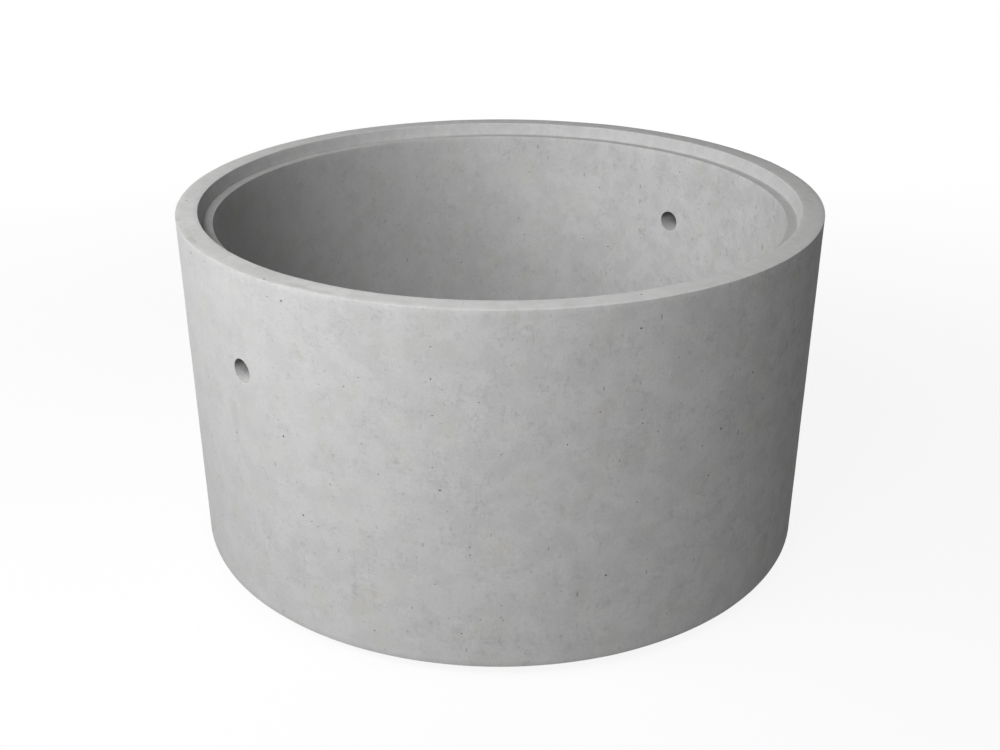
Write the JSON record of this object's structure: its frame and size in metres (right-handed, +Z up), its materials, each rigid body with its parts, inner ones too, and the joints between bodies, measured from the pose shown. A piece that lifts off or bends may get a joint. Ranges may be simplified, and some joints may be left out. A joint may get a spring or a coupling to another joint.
{
  "type": "concrete culvert ring",
  "caption": "Precast concrete ring for culverts and well shafts, with a rebated rim, a matching spigot at its foot and sling holes through its wall.",
  "frame": {"origin": "on the ring's axis, at the level of the spigot's tip, on which the ring stands", "axes": "+Z up the ring's axis from the spigot to the rebated rim, +X along the common axis of the sling holes"},
  "size_m": [1.68, 1.6798, 0.93],
  "materials": {
    "concrete": "matte"
  },
  "bodies": {
    "root": {"concrete_ring": "concrete"}
  },
  "joints": []
}
